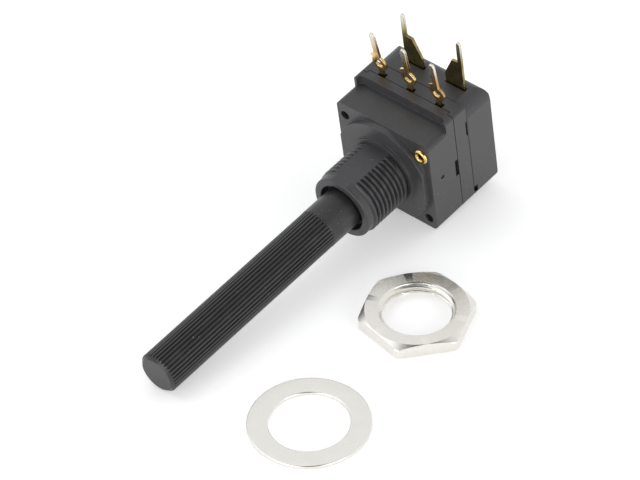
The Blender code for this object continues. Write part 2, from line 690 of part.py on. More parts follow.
def hex_nut():
    """Thin panel nut, chamfered on its upper side, with its thread as one ring groove."""
    corner = NUT_ACROSS_FLATS / math.sqrt(3)
    outline = circle((0, 0), corner, 6)
    nut = plate("hex_nut", [outline], 0.0, NUT_THICKNESS, parts)
    chamfer = NUT_ACROSS_FLATS / 2 - 0.05
    crown = turned("nut_crown", [(0.0, NUT_THICKNESS + 1), (chamfer - 2, NUT_THICKNESS + 1),
                                 (chamfer + 2, NUT_THICKNESS - 1), (chamfer + 2, -1.0), (0.0, -1.0)])
    combine(nut, "INTERSECT", crown)
    flare = 0.5
    lead_in = NUT_MOUTH - NUT_BORE
    top, middle = NUT_THICKNESS - lead_in, NUT_THICKNESS / 2
    profile = [(0.0, NUT_THICKNESS + flare), (NUT_MOUTH + flare, NUT_THICKNESS + flare), (NUT_BORE, top),
               (NUT_BORE, top - 0.12), (THREAD_RADIUS, middle), (NUT_BORE, lead_in + 0.12),
               (NUT_BORE, lead_in), (NUT_MOUTH + flare, -flare), (0.0, -flare)]
    combine(nut, "DIFFERENCE", turned("nut_bore", profile))
    return finished(nut, "nickel", nut_place)


def flat_washer():
    """Thin ring."""
    profile = [(WASHER_BORE, WASHER_THICKNESS), (WASHER_RADIUS, WASHER_THICKNESS),
               (WASHER_RADIUS, 0.0), (WASHER_BORE, 0.0)]
    ring = turned("flat_washer", profile, closed=True, collection=parts)
    return finished(ring, "nickel", washer_place)


# ---------------------------------------------------------------- assembly

front_housing()
contact_wafer()
switch_cover()
rivet("rivet_upper", RIVET_X, RIVET_Y)
rivet("rivet_lower", -RIVET_X, -RIVET_Y)
shaft()
retaining_ring()
rotor()
code_wheel()
detent_spring()
front_terminal("terminal_a", -TERMINAL_PITCH, TERMINAL_A_LEAN)
front_terminal("terminal_common", 0.0)
front_terminal("terminal_b", TERMINAL_PITCH)
wiper("wiper_a", -4.65, 4.95, -72)
wiper("wiper_common", 0.0, 6.4, -90)
wiper("wiper_b", 4.65, 4.95, -108)
switch_terminal("switch_terminal_left", -1)
switch_terminal("switch_terminal_right", 1)
plunger()
snap_dome()
rim_contact()
centre_contact()
hex_nut()
flat_washer()

for cutter in cutters.objects:
    cutter.parent = encoder_pose
for name in ("nut_crown", "nut_bore"):
    cutters.objects[name].parent = nut_place


def set_back(y, z):
    """How far behind the resting edge a point of the drawn encoder comes to lie."""
    return AXIS_BACK - z * math.cos(PITCH) - y * math.sin(PITCH)


# The origin is the middle of the footprint: nut, washer, shaft tip and switch cover bound it
left = -BODY_HALF_WIDTH
right = WASHER_PLACE[0] + WASHER_RADIUS
front = set_back(SHAFT_RADIUS - TIP_CHAMFER, SHAFT_TIP)
back = set_back(RIVET_BEVEL - RIVET_Y - RIVET_HEAD, BODY_BACK - GAP / 2 - RIVET_HEAD_HEIGHT)
shift = Vector((-(left + right) / 2, -(front + back) / 2, 0.0))

lay_down = Matrix.Rotation(math.pi / 2 + PITCH, 4, "X")
encoder_pose.matrix_world = Matrix.Translation((shift + Vector((0, AXIS_BACK, AXIS_HEIGHT))) * MM) @ lay_down
nut_spot = shift + Vector((*NUT_PLACE, 0))
washer_spot = shift + Vector((*WASHER_PLACE, 0))
nut_place.matrix_world = Matrix.Translation(nut_spot * MM) @ Matrix.Rotation(NUT_TURN, 4, "Z")
washer_place.matrix_world = Matrix.Translation(washer_spot * MM)
bpy.context.view_layer.update()
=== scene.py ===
# %% [markdown]
# # A rotary encoder with its nut and washer
#
# The encoder is a black plastic panel control: a square body in three layers, a threaded bushing, a long
# serrated shaft that also pushes a switch, three small solder terminals and two wide switch blades. Its hex
# nut and its washer lie beside it. The solid model gives every piece its size, place and motion. This lesson
# makes the surfaces that are seen: it loads that model as a frame, and each new piece takes its place from
# it.

# %% Load the frame
import json
import math

import bmesh
import bpy
import numpy as np
from mathutils import Matrix, Vector


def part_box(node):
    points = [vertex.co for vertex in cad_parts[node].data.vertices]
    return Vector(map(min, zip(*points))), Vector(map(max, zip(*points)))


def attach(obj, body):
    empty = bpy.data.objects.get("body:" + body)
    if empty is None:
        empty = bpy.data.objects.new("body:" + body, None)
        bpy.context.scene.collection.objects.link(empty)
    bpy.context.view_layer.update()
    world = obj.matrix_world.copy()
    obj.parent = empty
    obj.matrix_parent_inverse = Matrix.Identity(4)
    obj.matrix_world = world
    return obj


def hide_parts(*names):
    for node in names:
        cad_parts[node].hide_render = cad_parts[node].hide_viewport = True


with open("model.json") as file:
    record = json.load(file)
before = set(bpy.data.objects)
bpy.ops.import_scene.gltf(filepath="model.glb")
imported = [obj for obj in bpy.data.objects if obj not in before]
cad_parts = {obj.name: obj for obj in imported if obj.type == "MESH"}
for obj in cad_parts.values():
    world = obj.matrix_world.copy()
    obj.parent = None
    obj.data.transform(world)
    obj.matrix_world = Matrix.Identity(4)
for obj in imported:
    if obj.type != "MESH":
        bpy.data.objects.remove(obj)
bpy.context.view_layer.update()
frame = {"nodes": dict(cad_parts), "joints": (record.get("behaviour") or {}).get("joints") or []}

# %% [markdown]
# ## Where the encoder lies
#
# The encoder rests nose down on its shaft tip and on its body's lower front edge, so nothing on it is level.
# It is far easier to draw standing on its back. The push joint's axis says which way the shaft runs, and the
# turning joint's point lies on the shaft, so those two give a turned set of axes. Drawings are in
# millimetres: x across the body, y towards the terminals, z towards the shaft tip, with z = 0 on the body's
# front face.

# %% The drawing axes
MM = 0.001
PIVOT_DEPTH = -5.0
joints = {joint["name"]: joint for joint in frame["joints"]}
AHEAD = -np.array(joints["shaft_push"]["axis"], float)
AHEAD = AHEAD / np.linalg.norm(AHEAD)
ACROSS = np.array([1.0, 0.0, 0.0])
UPRIGHT = np.cross(AHEAD, ACROSS)
MIDDLE = np.array(joints["shaft_turn"]["pos_m"], float) - AHEAD * PIVOT_DEPTH * MM


def laid(points):
    """Drawing millimetres to metres on the table: middle + x across + y upright + z ahead."""
    points = np.asarray(points, float)
    return MIDDLE + MM * (points @ np.array([ACROSS, UPRIGHT, AHEAD]))


print("nose points down by", round(math.degrees(math.asin(-AHEAD[2])), 2), "degrees")

# %% [markdown]
# ## Camera, table and light
#
# Small hardware is usually pictured inside a white light tent, through an opening for the lens. That opening
# is the one dark thing that shiny pieces can mirror, and it draws the shaft's dark middle band and the dark
# corners of the nut. The world is therefore white with one soft dark spot on the lens's side. The table is a
# sheet of white acrylic lit from below, which all but removes the shadows and brightens the undersides. A
# long lens keeps the encoder's edges nearly parallel.

# %% The camera
LENS_MM = 206.03
CAMERA_AT = (251.881, 349.857, 242.151)
CAMERA_RIGHT = (0.74678, -0.10956, -0.65598)
CAMERA_UP = (-0.42094, 0.68576, -0.59375)
CAMERA_BACK = (0.51490, 0.71953, 0.46600)

turn = np.array([laid(axis) - laid((0, 0, 0)) for axis in (CAMERA_RIGHT, CAMERA_UP, CAMERA_BACK)]) / MM
camera = bpy.data.objects.new("camera", bpy.data.cameras.new("camera"))
camera.data.lens = LENS_MM
camera.data.clip_start = 0.01
camera.data.clip_end = 5.0
pose = Matrix.Identity(4)
for column in range(3):
    for row in range(3):
        pose[row][column] = turn[column][row]
pose.translation = Vector(laid(CAMERA_AT))
camera.matrix_world = pose
bpy.context.scene.collection.objects.link(camera)
bpy.context.scene.camera = camera
TO_CAMERA = Vector(turn[2]).normalized()
print("camera looks down by", round(math.degrees(math.asin(TO_CAMERA.z)), 1), "degrees")

# %% The table
TABLE_HALF = 3.0
table_mesh = bpy.data.meshes.new("table")
corners = [(-TABLE_HALF, -TABLE_HALF, 0), (TABLE_HALF, -TABLE_HALF, 0), (TABLE_HALF, TABLE_HALF, 0),
           (-TABLE_HALF, TABLE_HALF, 0)]
table_mesh.from_pydata(corners, [], [(0, 1, 2, 3)])
table = bpy.data.objects.new("table", table_mesh)
bpy.context.scene.collection.objects.link(table)
acrylic = bpy.data.materials.new("backlit_acrylic")
acrylic.use_nodes = True
sheet = acrylic.node_tree.nodes["Principled BSDF"]
sheet.inputs["Base Color"].default_value = (0.84, 0.84, 0.84, 1.0)
sheet.inputs["Roughness"].default_value = 0.7
sheet.inputs["Emission Color"].default_value = (1.0, 1.0, 1.0, 1.0)
sheet.inputs["Emission Strength"].default_value = 0.36
table_mesh.materials.append(acrylic)
print("table is", 2 * TABLE_HALF, "m wide")

# %% The light tent
OPENING_LIFT = 0.35
world = bpy.data.worlds.new("light_tent")
world.use_nodes = True
bpy.context.scene.world = world
tent = world.node_tree
direction = tent.nodes.new("ShaderNodeTexCoord")
towards = tent.nodes.new("ShaderNodeVectorMath")
towards.operation = "DOT_PRODUCT"
opening = (TO_CAMERA + Vector((0, 0, OPENING_LIFT))).normalized()
towards.inputs[1].default_value = opening
tent.links.new(direction.outputs["Generated"], towards.inputs[0])
edge = tent.nodes.new("ShaderNodeMapRange")
edge.interpolation_type = "SMOOTHSTEP"
edge.inputs["From Min"].default_value = math.cos(math.radians(52))
edge.inputs["From Max"].default_value = math.cos(math.radians(24))
edge.inputs["To Min"].default_value = 1.0
edge.inputs["To Max"].default_value = 0.10
tent.links.new(towards.outputs["Value"], edge.inputs["Value"])
backdrop = tent.nodes["Background"]
backdrop.inputs["Color"].default_value = (0.985, 0.99, 1.0, 1.0)
tent.links.new(edge.outputs["Result"], backdrop.inputs["Strength"])
bpy.context.scene.view_settings.view_transform = "Standard"


def softbox(name, place, size, power, colour):
    """A square area light at a place in metres, turned to face the encoder."""
    light = bpy.data.lights.new(name, "AREA")
    light.size = size
    light.energy = power
    light.color = colour
    lamp = bpy.data.objects.new(name, light)
    lamp.location = place
    lamp.rotation_euler = (-Vector(place)).to_track_quat("-Z", "Y").to_euler()
    bpy.context.scene.collection.objects.link(lamp)
    return lamp


softbox("top_box", (-0.35, -0.15, 0.60), 0.5, 0.6, (0.94, 0.97, 1.0))
softbox("low_fill", (0.05, -0.60, 0.16), 0.4, 1.4, (1.0, 0.99, 0.97))
softbox("right_fill", (0.60, -0.10, 0.20), 0.4, 1.4, (1.0, 0.99, 0.98))
print("three softboxes and a white tent")

# %% [markdown]
# ## Writing materials as sums
#
# A node tree is easier to read as arithmetic. `Wire` wraps one socket, and each operator on it adds the Math
# node that it stands for, so `gloss + dust` is a node with a link. `Finish.node` makes every other node: its
# settings come first, because they can change which sockets it has, then its socket values or links.


# %% The wire and the finish
class Wire:
    """One output socket; +, - and * on it add Math nodes."""

    def __init__(self, finish, socket):
        self.finish = finish
        self.socket = socket

    def math(self, operation, first, second):
        return self.finish.node("ShaderNodeMath", {"operation": operation}, {0: first, 1: second})

    def __add__(self, other):
        return self.math("ADD", self, other)

    def __radd__(self, other):
        return self.math("ADD", other, self)

    def __sub__(self, other):
        return self.math("SUBTRACT", self, other)

    def __mul__(self, other):
        return self.math("MULTIPLY", self, other)

    def __rmul__(self, other):
        return self.math("MULTIPLY", other, self)


class Finish:
    """One material: a node tree around a Principled shader, with places in millimetres."""

    def __init__(self, name, roughness, metallic):
        self.material = bpy.data.materials.new(name)
        self.material.use_nodes = True
        self.tree = self.material.node_tree
        self.shader = self.tree.nodes["Principled BSDF"]
        self.shader.inputs["Roughness"].default_value = roughness
        self.shader.inputs["Metallic"].default_value = metallic
        place = self.node("ShaderNodeTexCoord", output="Object")
        self.place = self.node("ShaderNodeVectorMath", {"operation": "SCALE"}, {0: place, "Scale": 1 / MM})

    def node(self, kind, settings=None, inputs=None, output=0):
        """Any node: its settings, then its sockets' values or wires; gives back one output."""
        made = self.tree.nodes.new(kind)
        for key, value in (settings or {}).items():
            setattr(made, key, value)
        for key, value in (inputs or {}).items():
            self.feed(made.inputs[key], value)
        return Wire(self, made.outputs[output])

    def feed(self, socket, value):
        """A wire is linked, anything else is set."""
        if isinstance(value, Wire):
            self.tree.links.new(value.socket, socket)
        else:
            socket.default_value = value

    def noise(self, scale, detail=3.0, where=None):
        """Cloudy noise, scale in features for each millimetre."""
        return self.node("ShaderNodeTexNoise", None, {"Vector": where or self.place, "Scale": scale,
                                                      "Detail": detail})

    def ramp(self, value, low, high):
        """0 below low, 1 above high, smooth between."""
        return self.node("ShaderNodeMapRange", {"interpolation_type": "SMOOTHSTEP"},
                         {"Value": value, "From Min": low, "From Max": high})

    def mix(self, share, first, second):
        """Colour between two colours."""
        first = first if isinstance(first, Wire) else (*first, 1.0)
        second = second if isinstance(second, Wire) else (*second, 1.0)
        return self.node("ShaderNodeMix", {"data_type": "RGBA"}, {0: share, 6: first, 7: second}, output=2)

    def stretched(self, vector, amounts):
        """Places multiplied by a factor along x, y and z."""
        return self.node("ShaderNodeVectorMath", {"operation": "MULTIPLY"}, {0: vector, 1: amounts})

    def own_axes(self):
        """Places along the encoder's drawing axes, in millimetres from its front face."""
        start = self.node("ShaderNodeVectorMath", {"operation": "SUBTRACT"},
                          {0: self.place, 1: tuple(MIDDLE / MM)})
        sums = [self.node("ShaderNodeVectorMath", {"operation": "DOT_PRODUCT"}, {0: start, 1: tuple(axis)},
                          output="Value") for axis in (ACROSS, UPRIGHT, AHEAD)]
        return sums

    def joined(self, x, y, z):
        """Three numbers as one vector."""
        return self.node("ShaderNodeCombineXYZ", None, {0: x, 1: y, 2: z})

    def done(self, colour, roughness, height, depth_mm):
        """Wire the colour, the roughness and a bump of the given depth."""
        self.feed(self.shader.inputs["Base Color"], colour)
        self.feed(self.shader.inputs["Roughness"], roughness)
        bump = self.node("ShaderNodeBump", None, {"Height": height, "Distance": depth_mm * MM, "Strength": 1.0})
        self.feed(self.shader.inputs["Normal"], bump)
        return self.material


print("materials can now be written as sums")

# %% [markdown]
# ## Moulded plastic
#
# The body is a glass-filled nylon or phenolic: charcoal, half matt, with a fine spark-eroded grain, faint
# flow clouding and a few dust specks. The grain is a bump only a few microns deep, and the clouding changes
# the roughness more than the colour. The shaft is the same family, but nearly black and drawn lengthwise, so
# its grain is stretched along the shaft.


# %% Plastic finishes
def moulded_plastic(name, colour, gloss, grain_depth, lengthwise=1.0):
    """Charcoal moulding: grain bump, clouded roughness, sparse pale dust."""
    finish = Finish(name, gloss, 0.0)
    x, y, z = finish.own_axes()
    own = finish.joined(x, y, z * lengthwise)
    grain = finish.noise(7.0, 4.0, own)
    clouds = finish.noise(0.45, 3.0, own)
    scuffs = finish.ramp(finish.noise(1.6, 5.0, finish.stretched(own, (1.0, 0.25, 1.0))), 0.56, 0.72)
    dust = finish.ramp(finish.noise(3.2, 1.0), 0.755, 0.79)
    light = tuple(min(1.0, 1.5 * channel + 0.004) for channel in colour)
    shade = finish.mix(clouds, colour, light)
    shade = finish.mix(scuffs * 0.25, shade, (0.075, 0.073, 0.070))
    shade = finish.mix(dust * 0.5, shade, (0.32, 0.31, 0.29))
    rough = gloss + (clouds - 0.5) * 0.16 + scuffs * 0.08
    return finish.done(shade, rough, grain * 0.7 + clouds * 0.3, grain_depth)


housing_plastic = moulded_plastic("charcoal_moulding", (0.029, 0.029, 0.031), 0.40, 0.010)
shaft_plastic = moulded_plastic("black_shaft_moulding", (0.013, 0.013, 0.013), 0.36, 0.008, 0.12)
inner_plastic = moulded_plastic("natural_acetal", (0.60, 0.58, 0.52), 0.45, 0.006)
print("plastics:", housing_plastic.name, shaft_plastic.name, inner_plastic.name)

# %% [markdown]
# ## Brass, tin and nickel
#
# The terminals are stamped from brass strip: golden, with shear streaks, and dipped in tin at the pin. The
# tin line follows the height above the body, worked out along the encoder's own upright axis, so it stays put
# whichever way the part is set down. Nickel plate is warm white, with fine turning rings about the hole, a
# cloudy brightness and a few stains.


# %% Metal finishes
def stamped_brass(name, bright, dull, tin_from, tin_to):
    """Brass strip: streaked golden metal that turns to tin between two heights."""
    finish = Finish(name, 0.3, 1.0)
    x, y, z = finish.own_axes()
    streaks = finish.noise(5.0, 4.0, finish.joined(x, y * 0.25, z))
    tarnish = finish.noise(0.9, 4.0)
    tinned = finish.ramp(y + (tarnish - 0.5) * 1.2, tin_from, tin_to)
    metal = finish.mix(finish.ramp(tarnish, 0.35, 0.65), bright, dull)
    metal = finish.mix(finish.ramp(streaks, 0.55, 0.75) * 0.5, metal, tuple(0.6 * c for c in dull))
    metal = finish.mix(tinned * 0.85, metal, (0.78, 0.74, 0.66))
    rough = 0.12 + 0.16 * tarnish + 0.06 * streaks
    return finish.done(metal, rough, streaks, 0.006)


def nickel_plate(name, centre):
    """Plated steel with turning rings about a centre given in metres."""
    finish = Finish(name, 0.25, 1.0)
    start = finish.node("ShaderNodeVectorMath", {"operation": "SUBTRACT"},
                        {0: finish.place, 1: tuple(centre / MM)})
    flat = finish.stretched(start, (1.0, 1.0, 0.0))
    reach = finish.node("ShaderNodeVectorMath", {"operation": "LENGTH"}, {0: flat}, output="Value")
    height = finish.node("ShaderNodeSeparateXYZ", None, {0: start}, output=2)
    rings = finish.noise(1.0, 2.0, finish.joined(reach * 9.0, height * 9.0, 0.0))
    clouds = finish.noise(0.5, 4.0)
    scratches = finish.ramp(finish.noise(2.5, 2.0, finish.stretched(start, (0.3, 6.0, 1.0))), 0.66, 0.72)
    colour = finish.mix(clouds, (0.76, 0.74, 0.685), (0.83, 0.815, 0.775))
    colour = finish.mix(scratches * 0.2, colour, (0.58, 0.55, 0.49))
    rough = 0.20 + 0.12 * clouds + 0.10 * scratches
    return finish.done(colour, rough, rings * 0.8 + clouds * 0.2, 0.006)


def middle_of(node):
    """The middle of a node's box, in metres."""
    low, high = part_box(node)
    return (np.array(low) + np.array(high)) / 2


terminal_brass = stamped_brass("tinned_gold_brass", (0.85, 0.60, 0.23), (0.48, 0.28, 0.12), 14.0, 17.0)
blade_brass = stamped_brass("dull_blade_brass", (0.36, 0.29, 0.12), (0.22, 0.18, 0.075), 14.6, 17.6)
rivet_brass = stamped_brass("rolled_rivet_brass", (0.86, 0.64, 0.24), (0.70, 0.50, 0.18), 30.0, 40.0)
contact_brass = stamped_brass("contact_strip", (0.80, 0.60, 0.28), (0.66, 0.48, 0.22), 30.0, 40.0)
spring_strip = nickel_plate("spring_strip", MIDDLE)
nut_plate = nickel_plate("nut_nickel", middle_of("hex_nut"))
washer_plate = nickel_plate("washer_nickel", middle_of("flat_washer"))
print("metals:", terminal_brass.name, blade_brass.name, nut_plate.name)

# %% [markdown]
# ## Surfaces from numbers
#
# Threads, serrations and turned rims are all one idea: a surface point is a function of the angle round an
# axis and of a station along a profile. The whole grid is worked out as arrays. Columns run round the axis
# and rows along the profile; the grid always closes round, and either the rows close on themselves, as on a
# ring, or the first and last rows shrink to a point.


# %% Grid helper
def grid_piece(name, points, material, ring, crease=32):
    """A closed surface from an array of rows x columns x 3 points in metres."""
    rows, columns = points.shape[:2]
    index = np.arange(rows * columns).reshape(rows, columns)
    last = rows if ring else rows - 1
    here = index[:last]
    there = np.roll(index, -1, axis=0)[:last]
    quads = np.stack([here, np.roll(here, -1, axis=1), np.roll(there, -1, axis=1), there], axis=-1)
    mesh = bpy.data.meshes.new(name)
    mesh.from_pydata(points.reshape(-1, 3), [], quads.reshape(-1, 4).tolist())
    work = bmesh.new()
    work.from_mesh(mesh)
    bmesh.ops.remove_doubles(work, verts=work.verts, dist=2e-7)
    bmesh.ops.recalc_face_normals(work, faces=work.faces)
    work.to_mesh(mesh)
    work.free()
    return shown(name, mesh, material, crease)


def shown(name, mesh, material, crease):
    """Link a mesh as a smooth-shaded piece with one material."""
    mesh.materials.clear()
    mesh.materials.append(material)
    mesh.shade_smooth()
    mesh.set_sharp_from_angle(angle=math.radians(crease))
    piece = bpy.data.objects.new(name, mesh)
    bpy.context.scene.collection.objects.link(piece)
    return piece


def smooth_step(value, low, high):
    """0 below low, 1 above high, with a cubic between."""
    share = np.clip((value - low) / (high - low), 0.0, 1.0)
    return share * share * (3.0 - 2.0 * share)


def around(columns):
    """Angles once round, without the repeated end."""
    return np.linspace(0.0, 2.0 * np.pi, columns, endpoint=False)


def place_piece(piece, body, slot, *nodes):
    """Let a piece ride on a body and stand for its nodes; slot is not used."""
    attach(piece, body)
    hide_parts(*nodes)
    print(piece.name, "rides on", body, "and has", len(piece.data.polygons), "faces")
    return piece


# %% [markdown]
# ## The shaft
#
# The shaft is modelled with thirty-six fine teeth over most of its length. The teeth stop dead at a plain
# journal, and a small cone at the tip cuts them off. One formula holds for all of it: the radius is the
# smaller of the tip's cone and the toothed radius, and the teeth fade to nothing where the journal starts.

# %% Serrated shaft
SHAFT_TIP = 46.0
SHAFT_RADIUS = 3.0
CREST_RADIUS = 2.97
TIP_FACE_RADIUS = 2.5
TEETH = 36
TOOTH_DEPTH = 0.20
JOURNAL_FRONT = 14.2
TAIL_FLAT = 1.5


def shaft_points(columns=TEETH * 10):
    """Radius = min(cone, crest - depth x groove(angle) x fade(z)); the tail's x is held between two flats."""
    toothed = np.concatenate([SHAFT_TIP - np.array([0.0, 0.08, 0.16, 0.24, 0.32, 0.40, 0.47, 0.60]),
                              np.linspace(SHAFT_TIP - 1.0, JOURNAL_FRONT + 0.5, 24),
                              JOURNAL_FRONT + np.array([0.32, 0.24, 0.16, 0.08, 0.0])])
    plain = [(14.1, 3.0), (14.0, 3.0), (12.0, 3.0), (9.0, 3.0), (5.0, 3.0), (-1.15, 3.0), (-1.25, 2.95),
             (-1.25, 2.5), (-1.80, 2.5), (-1.80, 2.95), (-1.85, 3.0), (-2.25, 3.0), (-2.3, 2.95), (-2.3, 2.0),
             (-8.8, 2.0), (-9.0, 1.8), (-9.0, 0.0)]
    heights = np.concatenate([[SHAFT_TIP], toothed, [z for z, radius in plain]])
    radii = np.concatenate([[0.0], np.full(len(toothed), CREST_RADIUS), [radius for z, radius in plain]])
    cut = np.concatenate([[0.0], smooth_step(toothed, JOURNAL_FRONT + 0.02, JOURNAL_FRONT + 0.3),
                          np.zeros(len(plain))])
    angle = around(columns)
    share = (angle * TEETH / (2 * np.pi) - 0.75 + 0.5) % 1.0 - 0.5
    groove = 1.0 - smooth_step(np.abs(share), 0.06, 0.27)
    radius = radii[:, None] - TOOTH_DEPTH * groove[None, :] * cut[:, None]
    fade_in = (1 - cut) * (heights > JOURNAL_FRONT - 0.15) * (heights < SHAFT_TIP - 1)
    radius = radius + (SHAFT_RADIUS - CREST_RADIUS) * fade_in[:, None] * (radii == CREST_RADIUS)[:, None]
    cone = TIP_FACE_RADIUS + SHAFT_TIP - heights
    radius = np.minimum(radius, cone[:, None])
    x = radius * np.cos(angle)
    tail = (heights < -2.29)[:, None] & (radii < 2.1)[:, None]
    x = np.where(tail, np.clip(x, -TAIL_FLAT, TAIL_FLAT), x)
    y = radius * np.sin(angle)
    return laid(np.stack([x, y, np.broadcast_to(heights[:, None], x.shape)], axis=-1))


shaft_piece = grid_piece("serrated_shaft", shaft_points(), shaft_plastic, False, 28)
place_piece(shaft_piece, "shaft", "shaft_plastic", "shaft")

# %% [markdown]
# ## The threaded bushing
#
# A real thread is one long ridge, not a stack of rings. Its height at a point depends on the phase, which
# grows by one for each pitch along the shaft and falls by one for each turn round it, so the ridge climbs and
# joins up with itself. Two flats are moulded along the bushing: there y is held at a plane, ridge or no
# ridge.

# %% Helical bushing
THREAD_PITCH = 0.75
THREAD_RADIUS = 4.95
ROOT_RADIUS = 4.50
THREAD_FLAT = 4.54
NOSE_RADIUS = 4.72
NOSE_FRONT = 9.5
BUSHING_FOOT = 1.12
COLLAR_FACE = 1.22
MOUTH_RADIUS = 3.63
BORE_RADIUS = 3.07


def bushing_points(columns=224):
    """Radius = root + ridge(phase), phase = z / pitch - angle / turn; y is held between the two flats."""
    angle = around(columns)
    stations = np.concatenate([[BUSHING_FOOT], np.linspace(COLLAR_FACE, 8.55, 150)])
    phase = (stations[:, None] / THREAD_PITCH - angle[None, :] / (2 * np.pi)) % 1.0
    ridge = 1.0 - smooth_step(np.abs(phase - 0.5), 0.10, 0.40)
    ridge = ridge * smooth_step(stations, COLLAR_FACE, COLLAR_FACE + 0.35)[:, None]
    thread = ROOT_RADIUS + (THREAD_RADIUS - ROOT_RADIUS) * ridge
    flat = THREAD_FLAT / np.maximum(np.abs(np.sin(angle)), 0.1)
    thread = np.where(flat < THREAD_RADIUS, flat, thread)
    nose = smooth_step(stations, 7.95, 8.35)[:, None]
    outer = thread * (1 - nose) + NOSE_RADIUS * nose
    rounding = np.linspace(0, np.pi / 2, 6)
    lip = [(NOSE_FRONT - 0.25 + 0.25 * math.sin(a), NOSE_RADIUS - 0.25 + 0.25 * math.cos(a)) for a in rounding]
    inner_lip = [(NOSE_FRONT - 0.12 + 0.12 * math.cos(a), MOUTH_RADIUS + 0.12 - 0.12 * math.sin(a))
                 for a in rounding]
    plain = lip + inner_lip + [(7.95, MOUTH_RADIUS), (7.9, MOUTH_RADIUS - 0.04), (7.62, BORE_RADIUS + 0.04),
                               (7.56, BORE_RADIUS), (4.0, BORE_RADIUS), (BUSHING_FOOT, BORE_RADIUS)]
    heights = np.concatenate([stations, [z for z, radius in plain]])
    radius = np.concatenate([outer, np.array([r for z, r in plain])[:, None] * np.ones((1, columns))])
    x = radius * np.cos(angle)
    y = np.clip(radius * np.sin(angle), -THREAD_FLAT, THREAD_FLAT)
    return laid(np.stack([x, y, np.broadcast_to(heights[:, None], x.shape)], axis=-1))


bushing_piece = grid_piece("threaded_bushing", bushing_points(), housing_plastic, True, 40)
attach(bushing_piece, "housing")
print(bushing_piece.name, "has", len(bushing_piece.data.polygons), "faces")

# %% [markdown]
# ## The three layers of the body
#
# The body's shells are blocks with many small cuts, which the solid model already has. Real mouldings have no
# knife edges, though, and it is the thin line of light along each rounded edge that makes plastic look
# moulded. So each shell is a copy of its solid: the loose triangles are merged, flat areas are joined into
# whole faces, and a Bevel modifier rounds every edge. The front shell's plain bushing is cut away at the
# collar first, because the helical one stands there.


# %% Rounded copies of solids
def rounded_copy(name, node, material, width_mm, segments=3, cut_at=None):
    """A merged copy of a solid with its edges rounded; cut_at removes what is ahead of that z."""
    mesh = frame["nodes"][node].data.copy()
    work = bmesh.new()
    work.from_mesh(mesh)
    bmesh.ops.remove_doubles(work, verts=work.verts, dist=0.02 * MM)
    if cut_at is not None:
        everything = list(work.verts) + list(work.edges) + list(work.faces)
        bmesh.ops.bisect_plane(work, geom=everything, dist=1e-8, plane_co=Vector(laid((0, 0, cut_at))),
                               plane_no=Vector(AHEAD), clear_outer=True)
        rim = [edge for edge in work.edges if edge.is_boundary]
        bmesh.ops.bridge_loops(work, edges=rim)
        bmesh.ops.recalc_face_normals(work, faces=work.faces)
    bmesh.ops.dissolve_limit(work, angle_limit=math.radians(0.6), verts=work.verts, edges=work.edges)
    work.to_mesh(mesh)
    work.free()
    piece = shown(name, mesh, material, 35)
    bevel = piece.modifiers.new("rounded_edges", "BEVEL")
    bevel.width = width_mm * MM
    bevel.segments = segments
    bevel.limit_method = "ANGLE"
    bevel.angle_limit = math.radians(32)
    bevel.use_clamp_overlap = False
    even = piece.modifiers.new("even_faces", "WEIGHTED_NORMAL")
    even.weight = 100
    even.keep_sharp = True
    return piece


front_shell = rounded_copy("front_shell", "front_housing", housing_plastic, 0.06, cut_at=COLLAR_FACE)
place_piece(front_shell, "housing", "housing_plastic", "front_housing")
wafer_piece = rounded_copy("contact_wafer_body", "contact_wafer", housing_plastic, 0.04)
place_piece(wafer_piece, "housing", "housing_plastic", "contact_wafer")
cover_piece = rounded_copy("switch_cover_shell", "switch_cover", housing_plastic, 0.14)
place_piece(cover_piece, "housing", "housing_plastic", "switch_cover")

# %% [markdown]
# ## Terminals and blades
#
# Punched strip has one side rolled over by the punch, so its edges catch the light as thin lines. The same
# copying and rounding is used, with a much smaller radius.

# %% Stamped pieces
for label in ("terminal_a", "terminal_common", "terminal_b"):
    strip = rounded_copy(f"{label}_strip", label, terminal_brass, 0.07, 2)
    place_piece(strip, "housing", "terminal_brass", label)
for label in ("switch_terminal_left", "switch_terminal_right"):
    strip = rounded_copy(f"{label}_blade", label, blade_brass, 0.06, 2)
    place_piece(strip, "housing", "blade_brass", label)

# %% [markdown]
# ## Rivets
#
# A tubular rivet is rolled over at each end: its head is half of a doughnut round a funnel-shaped hole. The
# profile is a line down the hole, over one rolled head, along the tube and over the other head, turned once
# round.


# %% Rolled rivets
RIVET_PLACE = {"rivet_upper": (6.76, 5.92), "rivet_lower": (-6.76, -5.92)}
RIVET_HOLE = 0.5
RIVET_TUBE = 0.95
RIVET_HEAD = 1.12
HEAD_HEIGHT = 0.4
FRONT_SEAT = 0.04
REAR_SEAT = -12.99


def rolled_head(seat, side):
    """Half an ellipse from the hole's edge out to the head's rim, on one side of the seat."""
    sweep = np.linspace(np.pi, 0.0, 15)
    middle = (RIVET_HOLE + RIVET_HEAD) / 2
    reach = (RIVET_HEAD - RIVET_HOLE) / 2
    radii = middle + reach * np.cos(sweep)
    heights = seat + side * (0.06 + (HEAD_HEIGHT - 0.06) * np.sin(sweep))
    return list(zip(heights, radii))


